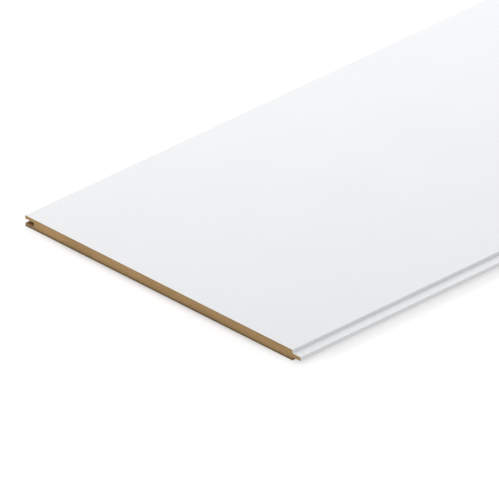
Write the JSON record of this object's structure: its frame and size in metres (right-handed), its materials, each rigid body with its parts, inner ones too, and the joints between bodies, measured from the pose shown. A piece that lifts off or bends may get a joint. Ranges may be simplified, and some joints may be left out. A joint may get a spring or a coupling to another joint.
{
  "type": "mdf wall panel",
  "caption": "Flat white-faced MDF wall panel with a tongue along one long edge, a matching groove along the other and plain sawn ends, for lining a wall or ceiling.",
  "frame": {"origin": "middle of the back face, halfway along the panel and halfway between the edge of the upper lip and the nose of the tongue", "axes": "+X across the panel from the groove to the tongue, +Y along the panel, +Z out of the finished face"},
  "size_m": [0.3914, 2.6, 0.012],
  "materials": {
    "white_coat": "satin",
    "raw_mdf": "matte"
  },
  "bodies": {
    "root": {"panel": "white_coat"}
  },
  "joints": []
}
